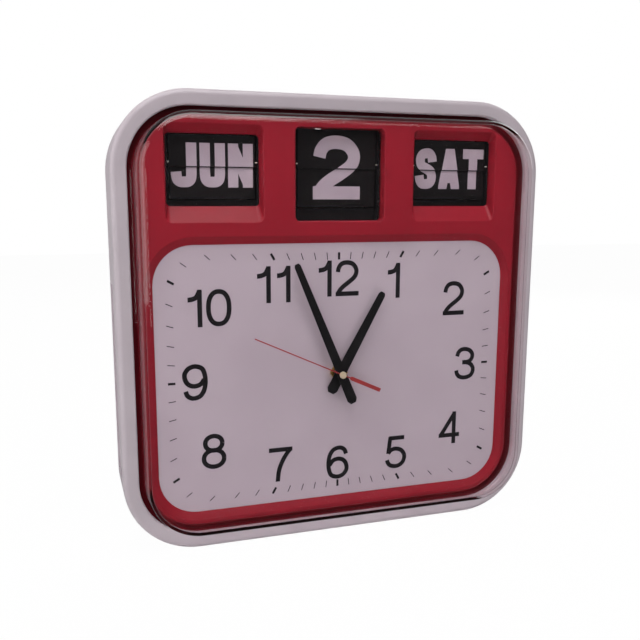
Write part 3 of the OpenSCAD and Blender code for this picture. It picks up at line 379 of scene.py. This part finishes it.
def add_stroke(bm, path, width, base, top, box):
    """A closed prism of ink along a path, cut to the box (left, right, low, high)."""
    part = bmesh.new()
    left, right = [], []
    for i, point in enumerate(path):
        before, after = path[max(i - 1, 0)], path[min(i + 1, len(path) - 1)]
        if path[0] == path[-1] and i in (0, len(path) - 1):
            before, after = path[-2], path[1]
        along = (Vector(after) - Vector(before)).normalized()
        aside = Vector((-along.y, along.x)) * width / 2
        left.append(part.verts.new((point[0] + aside.x, point[1] + aside.y, base)))
        right.append(part.verts.new((point[0] - aside.x, point[1] - aside.y, base)))
    for i in range(len(path) - 1):
        part.faces.new((left[i], right[i], right[i + 1], left[i + 1]))
    cuts = (((box[0], 0, 0), (-1, 0, 0)), ((box[1], 0, 0), (1, 0, 0)),
            ((0, box[2], 0), (0, -1, 0)), ((0, box[3], 0), (0, 1, 0)))
    for place, normal in cuts:
        bmesh.ops.bisect_plane(part, geom=part.verts[:] + part.edges[:] + part.faces[:], dist=1e-5,
                               plane_co=place, plane_no=normal, clear_outer=True)
    bmesh.ops.remove_doubles(part, verts=part.verts[:], dist=1e-4)
    if part.faces:
        raised = bmesh.ops.extrude_face_region(part, geom=part.faces[:])["geom"]
        bmesh.ops.translate(part, vec=(0, 0, top - base),
                            verts=[v for v in raised if isinstance(v, bmesh.types.BMVert)])
        bmesh.ops.recalc_face_normals(part, faces=part.faces[:])
        mesh = bpy.data.meshes.new("stroke")
        part.to_mesh(mesh)
        bm.from_mesh(mesh)
        bpy.data.meshes.remove(mesh)
    part.free()


# Ink in mm: its depth in the sheet, its height above it, and how far each further stroke stands above the
# last, so that no two faces lie in one plane
INK_BED, INK_T, INK_STEP = 0.02, 0.05, 0.004
# Further out than any piece, in mm
FAR = 1e3


def add_character(bm, character, left, low, width, height, stroke, out, cut=(-FAR, FAR)):
    """Prints a character from its lower left corner; cut keeps what lies between two heights."""
    box = (left, left + width, max(low, cut[0]), min(low + height, cut[1]))
    if box[2] >= box[3]:
        return
    for count, (kind, points) in enumerate(CHARACTERS[character]):
        path = points if kind == "line" else smoothed(points)
        placed = [(left + stroke / 2 + x * (width - stroke), low + stroke / 2 + y * (height - stroke))
                  for x, y in path]
        add_stroke(bm, placed, stroke, out - INK_BED, out + INK_T + INK_STEP * count, box)


# The dial's numerals in mm; a 1 is narrower than the rest
NUMERAL_H, NUMERAL_W, NUMERAL_STROKE, ONE_W = 27.2, 18.8, 3.5, 10.4
# Each hour's middle, from the dial's centre, and the pitch of its two digits
NUMERALS = {
    "12": (0, 72.7, 13.6), "1": (45.5, 69.7, 0), "2": (98.2, 54, 0), "3": (110.5, 0, 0), "4": (98, -53.5, 0),
    "5": (50.3, -69.4, 0), "6": (0, -72.7, 0), "7": (-46.7, -69.5, 0), "8": (-98.6, -53.7, 0),
    "9": (-111.4, 0, 0), "10": (-99.3, 54.1, 13.2), "11": (-51.1, 69.6, 15.2),
}


def make_numerals():
    """The dial's twelve numerals, each stroke a closed prism of ink."""
    bm = bmesh.new()
    for text, (x, y, pitch) in NUMERALS.items():
        widths = [ONE_W if digit == "1" else NUMERAL_W for digit in text]
        left = x - (pitch + widths[-1]) / 2
        for place, (digit, width) in enumerate(zip(text, widths)):
            add_character(bm, digit, left + place * pitch, DIAL_Y + y - NUMERAL_H / 2, width, NUMERAL_H,
                          NUMERAL_STROKE, DIAL_FRONT)
    settle("dial_numerals", placed_mesh(bm, "dial_numerals"), BLACK_INK, "root")


def marks_tree():
    """Geometry nodes for the minute marks, which point at the centre and end on a rounded rectangle."""
    tree = bpy.data.node_groups.new("minute_marks", "GeometryNodeTree")
    sockets = {"Count": "NodeSocketInt", "Centre": "NodeSocketVector", "Material": "NodeSocketMaterial"}
    for name in ("Half Width", "Half Height", "Corner", "Length", "Minute Width", "Hour Width", "Ink"):
        sockets[name] = "NodeSocketFloat"
    for name, kind in sockets.items():
        tree.interface.new_socket(name=name, in_out="INPUT", socket_type=kind)
    tree.interface.new_socket(name="Geometry", in_out="OUTPUT", socket_type="NodeSocketGeometry")
    given = add(tree, "NodeGroupInput").outputs

    index = add(tree, "GeometryNodeInputIndex").outputs["Index"]
    value = {"Index": index, **{name: given[name] for name in sockets}}
    sums = (
        # Each mark's turn from 12 o'clock, and the way that it points
        ("share", "DIVIDE", "Index", "Count"), ("turn", "MULTIPLY", "share", 2 * math.pi),
        ("across", "SINE", "turn", 0.0), ("along", "COSINE", "turn", 0.0),
        ("across size", "ABSOLUTE", "across", 0.0), ("side", "MAXIMUM", "across size", 1e-4),
        ("along size", "ABSOLUTE", "along", 0.0), ("rise", "MAXIMUM", "along size", 1e-4),
        # Where a ray from the middle leaves the rectangle
        ("to side", "DIVIDE", "Half Width", "side"), ("to top", "DIVIDE", "Half Height", "rise"),
        ("square", "MINIMUM", "to side", "to top"),
        # Where it leaves the corner's arc, which has a centre of its own
        ("arc x", "SUBTRACT", "Half Width", "Corner"), ("arc y", "SUBTRACT", "Half Height", "Corner"),
        ("near x", "MULTIPLY", "side", "arc x"), ("near y", "MULTIPLY", "rise", "arc y"),
        ("near", "ADD", "near x", "near y"),
        ("off x", "MULTIPLY", "side", "arc y"), ("off y", "MULTIPLY", "rise", "arc x"),
        ("off", "SUBTRACT", "off x", "off y"), ("off squared", "MULTIPLY", "off", "off"),
        ("corner squared", "POWER", "Corner", 2.0),
        ("chord squared", "SUBTRACT", "corner squared", "off squared"),
        ("real chord", "MAXIMUM", "chord squared", 0.0), ("half chord", "SQRT", "real chord", 0.0),
        ("arc", "ADD", "near", "half chord"),
        # Whether it meets the arc before the straight sides
        ("square x", "MULTIPLY", "square", "side"), ("past x", "GREATER_THAN", "square x", "arc x"),
        ("square y", "MULTIPLY", "square", "rise"), ("past y", "GREATER_THAN", "square y", "arc y"),
        ("in corner", "MULTIPLY", "past x", "past y"), ("on side", "SUBTRACT", 1.0, "in corner"),
        ("side reach", "MULTIPLY", "square", "on side"), ("arc reach", "MULTIPLY", "arc", "in corner"),
        ("reach", "ADD", "side reach", "arc reach"),
        # The mark's middle, half its length short of that, and its width, which is more at each fifth minute
        ("half length", "DIVIDE", "Length", 2.0), ("middle", "SUBTRACT", "reach", "half length"),
        ("x", "MULTIPLY", "middle", "across"), ("z", "MULTIPLY", "middle", "along"),
        ("minute of five", "MODULO", "Index", 5.0), ("is hour", "LESS_THAN", "minute of five", 0.5),
        ("width gain", "SUBTRACT", "Hour Width", "Minute Width"),
        ("hour gain", "MULTIPLY", "is hour", "width gain"), ("width", "ADD", "Minute Width", "hour gain"),
    )
    for name, operation, a, b in sums:
        value[name] = add(tree, "ShaderNodeMath", {0: value.get(a, a), 1: value.get(b, b)},
                          operation=operation).outputs[0]
    offset = add(tree, "ShaderNodeCombineXYZ", {"X": value["x"], "Z": value["z"]}).outputs["Vector"]
    place = add(tree, "ShaderNodeVectorMath", {0: offset, 1: given["Centre"]}, operation="ADD").outputs[0]
    points = add(tree, "GeometryNodePoints", {"Count": given["Count"], "Position": place}).outputs[0]
    block = add(tree, "GeometryNodeMeshCube", {"Size": (1.0, 1.0, 1.0)}).outputs["Mesh"]
    marks = add(tree, "GeometryNodeInstanceOnPoints", {
        "Points": points, "Instance": block,
        "Rotation": add(tree, "ShaderNodeCombineXYZ", {"Y": value["turn"]}).outputs["Vector"],
        "Scale": add(tree, "ShaderNodeCombineXYZ", {
            "X": value["width"], "Y": given["Ink"], "Z": given["Length"]}).outputs["Vector"]}).outputs[0]
    solid = add(tree, "GeometryNodeRealizeInstances", {"Geometry": marks}).outputs[0]
    inked = add(tree, "GeometryNodeSetMaterial", {"Geometry": solid, "Material": given["Material"]})
    add(tree, "NodeGroupOutput", {"Geometry": inked.outputs[0]})
    return tree


def make_marks():
    """The dial's sixty minute marks, made by the node tree and kept as a plain mesh."""
    maker = bpy.data.objects.new("marks_maker", bpy.data.meshes.new("marks_maker"))
    bpy.context.scene.collection.objects.link(maker)
    nodes = maker.modifiers.new("marks", "NODES")
    nodes.node_group = marks_tree()
    ink = INK_BED + INK_T
    sizes = {"Count": 60, "Half Width": 131.1 * MM, "Half Height": 92.3 * MM, "Corner": 27 * MM,
             "Length": 5.4 * MM, "Minute Width": 0.6 * MM, "Hour Width": 1.8 * MM, "Ink": ink * MM,
             "Centre": FACE @ Vector((0, DIAL_Y, DIAL_FRONT + ink / 2 - INK_BED)), "Material": BLACK_INK}
    for item in nodes.node_group.interface.items_tree:
        if item.in_out == "INPUT":
            nodes[item.identifier] = sizes[item.name]
    graph = bpy.context.evaluated_depsgraph_get()
    mesh = bpy.data.meshes.new_from_object(maker.evaluated_get(graph))
    bpy.data.objects.remove(maker)
    mesh.name = "minute_marks"
    settle("minute_marks", mesh, BLACK_INK, "root")


# What each window reads, and what it reads once its leaf has fallen
READINGS = {"month": ("JUN", "JUL"), "date": ("2", "3"), "weekday": ("SAT", "SUN")}
# The letters in mm: how far above the clock's middle they start, their height, stroke and width
WORD_LETTERS = (99.9, 30.6, 7.4, 18.2)
LETTERS = {"month": WORD_LETTERS, "date": (91.7, 46.4, 9.6, 37.5), "weekday": WORD_LETTERS}
LETTER_GAP = 2.2
# Bare leaf between the hinge line and the print above or below it
SPLIT = 0.35


def print_word(name, unit, text, upper, out, body, turned=False):
    """Prints the half of a reading above or below the hinge line on a leaf's face."""
    low, height, stroke, width = LETTERS[unit]
    cut = (HINGE_Y + SPLIT, FAR) if upper else (-FAR, HINGE_Y - SPLIT)
    left = UNITS[unit] - (len(text) * width + (len(text) - 1) * LETTER_GAP) / 2
    bm = bmesh.new()
    for place, letter in enumerate(text):
        add_character(bm, letter, left + place * (width + LETTER_GAP), low, width, height, stroke, out, cut)
    if turned:  # on the back of the leaf, where it shows once the leaf has fallen
        hinge = Vector((0, HINGE_Y, HINGE_OUT))
        bm.transform(Matrix.Translation(hinge) @ Matrix.Rotation(math.pi, 4, "X")
                     @ Matrix.Translation(-hinge))
    settle(name, placed_mesh(bm, name), PALE_INK, body)


# A pin in mm: its radius and rounding, where it starts and ends from the chassis's side, and its place above
# and in front of the hinge
PIN_R, PIN_ROUND, PIN_START, PIN_END, PIN_RISE, PIN_OUT = 0.45, 0.12, -1.4, 0.2, 3.3, 0.6
SHARP = 1.0  # radians; an edge that turns more than this is rounded


def make_pins():
    """White pins on each chassis, beside the standing leaf and clear of its fall."""
    bm = bmesh.new()
    reach = CHASSIS_SIDE + (PIN_START + PIN_END) / 2
    for x in UNITS.values():
        for side in (-1, 1):
            place = (Matrix.Translation((x + side * reach, HINGE_Y + PIN_RISE, HINGE_OUT + PIN_OUT))
                     @ Matrix.Rotation(math.pi / 2, 4, "Y"))
            bmesh.ops.create_cone(bm, cap_ends=True, segments=24, radius1=PIN_R, radius2=PIN_R,
                                  depth=PIN_END - PIN_START, matrix=place)
    edges = [edge for edge in bm.edges if len(edge.link_faces) == 2 and edge.calc_face_angle() > SHARP]
    bmesh.ops.bevel(bm, geom=edges, offset=PIN_ROUND, segments=2, affect="EDGES")
    for face in bm.faces:
        face.smooth = True
    settle("leaf_pins", placed_mesh(bm, "leaf_pins"), FINISHES["white_nylon"], "root")


make_panel()
make_pins()
make_numerals()
make_marks()
front = HINGE_OUT + LEAF_T / 2
for unit, (now, following) in READINGS.items():
    print_word(f"{unit}_print_upper", unit, now, True, front, f"{unit}_falling_leaf")
    print_word(f"{unit}_print_lower", unit, now, False, front - LEAF_STEP, "root")
    print_word(f"{unit}_print_next_upper", unit, following, True, front - 2 * LEAF_STEP, "root")
    print_word(f"{unit}_print_next_lower", unit, following, False, front, f"{unit}_falling_leaf", True)


# ---- Studio ----


def make_camera():
    """Left of the clock and a little above its middle, about 0.6 m away, as the photo's minute marks give."""
    data = bpy.data.cameras.new("photo_camera")
    data.sensor_width, data.lens = 36, 41.81
    data.shift_x, data.shift_y = 0.0374, 0.0313
    camera = bpy.data.objects.new("photo_camera", data)
    right, up = Vector((0.9537, -0.3009, -0.0025)), Vector((0.0539, 0.1628, 0.9852))
    turn = Matrix((right, up, right.cross(up))).transposed().to_4x4()
    camera.matrix_world = Matrix.Translation((-0.19995, -0.57963, 0.08344)) @ turn
    bpy.context.scene.collection.objects.link(camera)
    bpy.context.scene.camera = camera


def make_lamp(name, place, aim, size, power):
    """A soft lamp of (width, height) in metres that faces aim."""
    data = bpy.data.lights.new(name, "AREA")
    data.shape, data.energy = "RECTANGLE", power
    data.size, data.size_y = size
    lamp = bpy.data.objects.new(name, data)
    lamp.location = place
    lamp.rotation_mode = "QUATERNION"
    lamp.rotation_quaternion = (Vector(aim) - Vector(place)).to_track_quat("-Z", "Y")
    bpy.context.scene.collection.objects.link(lamp)


# Strength of the light from all round, and of what gloss mirrors: the dim room in front, the paper behind
ROUND_LIGHT, DIM_ROOM, BRIGHT_BACK = 0.12, 0.035, 0.4
# From where to where, in front of and behind the clock, the dim room turns into the bright back
FRONT_TO_BACK = {"From Min": -0.1, "From Max": 0.5}
# Strength of the paper and the backdrop as seen through clear pieces, which lose light at each face
THROUGH_CLEAR = 0.5
# Share of plain white that the eye sees in the paper, so that only a faint shadow stays
PAPER_GLOW = 0.98


def light_paths(tree):
    """Each 0 or 1: is the eye looking, does it look through clear pieces, and does it look into a mirror."""
    rays = add(tree, "ShaderNodeLightPath").outputs
    value = {name: rays[name] for name in ("Is Transmission Ray", "Diffuse Depth", "Glossy Depth")}
    tests = (
        ("unscattered", "LESS_THAN", "Diffuse Depth", 0.5), ("unmirrored", "LESS_THAN", "Glossy Depth", 0.5),
        ("mirrored", "SUBTRACT", 1.0, "unmirrored"), ("mirror", "MULTIPLY", "unscattered", "mirrored"),
        ("straight", "MULTIPLY", "unscattered", "unmirrored"),
        ("through", "MULTIPLY", "Is Transmission Ray", "straight"),
    )
    for name, operation, a, b in tests:
        value[name] = add(tree, "ShaderNodeMath", {0: value.get(a, a), 1: value.get(b, b)},
                          operation=operation).outputs[0]
    return rays["Is Camera Ray"], value["through"], value["mirror"]


def make_world():
    """White for the eye, and for gloss a dim room in front, so that dark and red pieces keep their colour."""
    world = bpy.data.worlds.new("studio")
    bpy.context.scene.world = world
    world.use_nodes = True
    tree = world.node_tree
    tree.nodes.clear()
    eye, through, mirror = light_paths(tree)
    way = add(tree, "ShaderNodeTexCoord").outputs["Generated"]
    depth = add(tree, "ShaderNodeSeparateXYZ", {"Vector": way}).outputs["Y"]
    strength = ROUND_LIGHT
    for share, back in ((mirror, BRIGHT_BACK), (through, THROUGH_CLEAR)):
        seen = add(tree, "ShaderNodeMapRange", {
            "Value": depth, "To Min": DIM_ROOM, "To Max": back, **FRONT_TO_BACK}).outputs["Result"]
        strength = add(tree, "ShaderNodeMix", {0: share, 2: strength, 3: seen}).outputs[0]
    strength = add(tree, "ShaderNodeMix", {0: eye, 2: strength, 3: 1.0}).outputs[0]
    surface = add(tree, "ShaderNodeBackground", {"Color": linear("#FFFFFF"), "Strength": strength})
    add(tree, "ShaderNodeOutputWorld", {"Surface": surface.outputs["Background"]})


def make_floor(reach=4):
    """White paper under the clock, that many metres to each side."""
    low = cad_box[0][2]
    corners = [(x * reach, y * reach, low) for x, y in ((-1, -1), (1, -1), (1, 1), (-1, 1))]
    mesh = bpy.data.meshes.new("floor")
    mesh.from_pydata(corners, [], [(0, 1, 2, 3)])
    paper = finish("studio_paper_white", "#FFFFFF", "#FCFCFC", 0.9, 2.0, 0.0)
    tree = paper.node_tree
    end = tree.nodes["Material Output"].inputs["Surface"]
    shown = end.links[0].from_socket
    eye, through, mirror = light_paths(tree)
    glowing = add(tree, "ShaderNodeMath", {0: eye, 1: PAPER_GLOW}, operation="MULTIPLY").outputs[0]
    place = add(tree, "ShaderNodeNewGeometry").outputs["Position"]
    depth = add(tree, "ShaderNodeSeparateXYZ", {"Vector": place}).outputs["Y"]
    mirrored = add(tree, "ShaderNodeMapRange", {
        "Value": depth, "To Min": DIM_ROOM, "To Max": BRIGHT_BACK, **FRONT_TO_BACK}).outputs["Result"]
    for share, strength in ((mirror, mirrored), (through, THROUGH_CLEAR), (glowing, 1.0)):
        glow = add(tree, "ShaderNodeEmission", {"Color": linear("#FFFFFF"), "Strength": strength}).outputs[0]
        shown = add(tree, "ShaderNodeMixShader", {0: share, 1: shown, 2: glow}).outputs[0]
    tree.links.new(shown, end)
    mesh.materials.append(paper)
    floor = bpy.data.objects.new("floor", mesh)
    bpy.context.scene.collection.objects.link(floor)


# Each lamp's place, its aim, and its width and height, all in metres, and its power in watts
LAMPS = {
    # The photo's light comes from above and from the left
    "key_above": ((-0.15, -0.42, 1.15), (0, -0.05, 0), (1.1, 0.75), 10.6),
    "fill_left": ((-1.5, -0.45, 0.3), (0, -0.05, 0), (1.4, 1.4), 11),
    # This one lights the back, for views from there
    "fill_behind": ((0.9, 1.3, 0.7), (0, 0, 0), (1.4, 1.0), 14),
    # Narrow strips that gloss mirrors as a thin line along the clear cover's upper and left edges
    "strip_above": ((0.38, -1.08, 0.68), (0, -0.05, 0.1), (0.8, 0.08), 1.0),
    "strip_left": ((-0.62, -1.1, -0.19), (0, -0.05, 0), (0.08, 0.8), 0.9),
}

make_camera()
for name, (place, aim, size, power) in LAMPS.items():
    make_lamp(name, place, aim, size, power)
make_world()
make_floor()
bpy.context.scene.view_settings.view_transform = "Standard"
